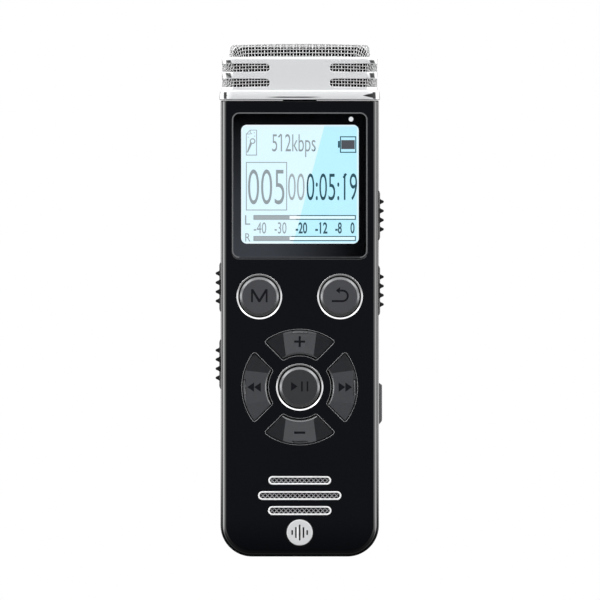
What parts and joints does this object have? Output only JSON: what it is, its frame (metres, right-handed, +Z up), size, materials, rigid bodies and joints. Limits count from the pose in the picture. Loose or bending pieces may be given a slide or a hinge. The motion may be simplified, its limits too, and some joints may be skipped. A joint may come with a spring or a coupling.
{
  "type": "handheld voice recorder",
  "caption": "Slim bar-shaped stereo voice recorder with a square display, round and sector keys, side sliders, a slotted speaker grille and a silver mesh microphone head.",
  "frame": {"origin": "middle of the bottom end, in the middle of the depth", "axes": "+Z up towards the microphones, -Y out of the display, +X to the right seen from the front"},
  "size_m": [0.0338, 0.0116, 0.1026],
  "materials": {
    "gloss_black": "piano black, polished",
    "matte_black": "fine spark-eroded texture",
    "satin_silver": "satin silver",
    "wire": "woven bright wire",
    "chrome": "polished",
    "key_grey": "dark grey, semi-gloss",
    "window": "clear with a dark printed border",
    "display": "backlit pale blue",
    "back_light": "white diffuser",
    "clear": "clear light guide",
    "ribbon": "amber film",
    "board": "green solder mask",
    "tact": "stamped steel",
    "switch": "moulded",
    "battery": "foil pouch",
    "speaker": "moulded frame",
    "foam": "open cell foam",
    "rubber": "soft rubber",
    "capsule": "drawn can",
    "steel": "plated steel"
  },
  "bodies": {
    "housing": {"front_shell": "gloss_black", "mid_frame": "matte_black", "rear_cover": "matte_black", "cover_screw_left_low": "steel", "cover_screw_left_high": "steel", "cover_screw_right_low": "steel", "cover_screw_right_high": "steel", "head_cap": "satin_silver", "mic_mesh": "wire", "foam_windscreen": "foam", "mic_carrier": "matte_black", "mic_left": "capsule", "mic_right": "capsule", "mic_boot_left": "rubber", "mic_boot_right": "rubber", "display_window": "window", "lcd_glass": "display", "lcd_backlight": "back_light", "led_light_pipe": "clear", "lcd_ribbon": "ribbon", "menu_ring": "chrome", "return_ring": "chrome", "play_ring": "chrome", "menu_switch": "tact", "return_switch": "tact", "play_switch": "tact", "plus_switch": "tact", "minus_switch": "tact", "rewind_switch": "tact", "forward_switch": "tact", "record_switch": "switch", "power_switch": "switch", "hold_switch": "switch", "mode_switch": "switch", "side_switch": "switch", "grille_rim_top": "chrome", "grille_rim_middle": "chrome", "grille_rim_bottom": "chrome", "grille_mesh": "wire", "speaker_gasket": "foam", "speaker": "speaker", "badge": "satin_silver", "main_board": "board", "battery": "battery", "headphone_jack": "switch", "microphone_jack": "switch", "usb_socket": "steel"},
    "menu_button": {"menu_button": "key_grey"},
    "return_button": {"return_button": "key_grey"},
    "play_button": {"play_button": "key_grey"},
    "plus_key": {"plus_key": "key_grey"},
    "minus_key": {"minus_key": "key_grey"},
    "rewind_key": {"rewind_key": "key_grey"},
    "forward_key": {"forward_key": "key_grey"},
    "record_slider": {"record_slider": "matte_black"},
    "power_slider": {"power_slider": "matte_black"},
    "hold_slider": {"hold_slider": "matte_black"},
    "mode_slider": {"mode_slider": "matte_black"},
    "side_key": {"side_key": "matte_black"}
  },
  "joints": [
    {"name": "menu_press", "type": "slide", "parent": "housing", "child": "menu_button", "axis": [0, 1, 0], "range_m": [0, 0.0003]},
    {"name": "return_press", "type": "slide", "parent": "housing", "child": "return_button", "axis": [0, 1, 0], "range_m": [0, 0.0003]},
    {"name": "play_press", "type": "slide", "parent": "housing", "child": "play_button", "axis": [0, 1, 0], "range_m": [0, 0.0003]},
    {"name": "plus_press", "type": "slide", "parent": "housing", "child": "plus_key", "axis": [0, 1, 0], "range_m": [0, 0.0003]},
    {"name": "minus_press", "type": "slide", "parent": "housing", "child": "minus_key", "axis": [0, 1, 0], "range_m": [0, 0.0003]},
    {"name": "rewind_press", "type": "slide", "parent": "housing", "child": "rewind_key", "axis": [0, 1, 0], "range_m": [0, 0.0003]},
    {"name": "forward_press", "type": "slide", "parent": "housing", "child": "forward_key", "axis": [0, 1, 0], "range_m": [0, 0.0003]},
    {"name": "record_slide", "type": "slide", "parent": "housing", "child": "record_slider", "axis": [0, 0, 1], "range_m": [0, 0.002]},
    {"name": "power_slide", "type": "slide", "parent": "housing", "child": "power_slider", "axis": [0, 0, 1], "range_m": [0, 0.002]},
    {"name": "hold_slide", "type": "slide", "parent": "housing", "child": "hold_slider", "axis": [0, 0, 1], "range_m": [0, 0.002]},
    {"name": "mode_slide", "type": "slide", "parent": "housing", "child": "mode_slider", "axis": [0, 0, 1], "range_m": [0, 0.002]},
    {"name": "side_key_press", "type": "slide", "parent": "housing", "child": "side_key", "axis": [-1, 0, 0], "range_m": [0, 0.00035]}
  ]
}
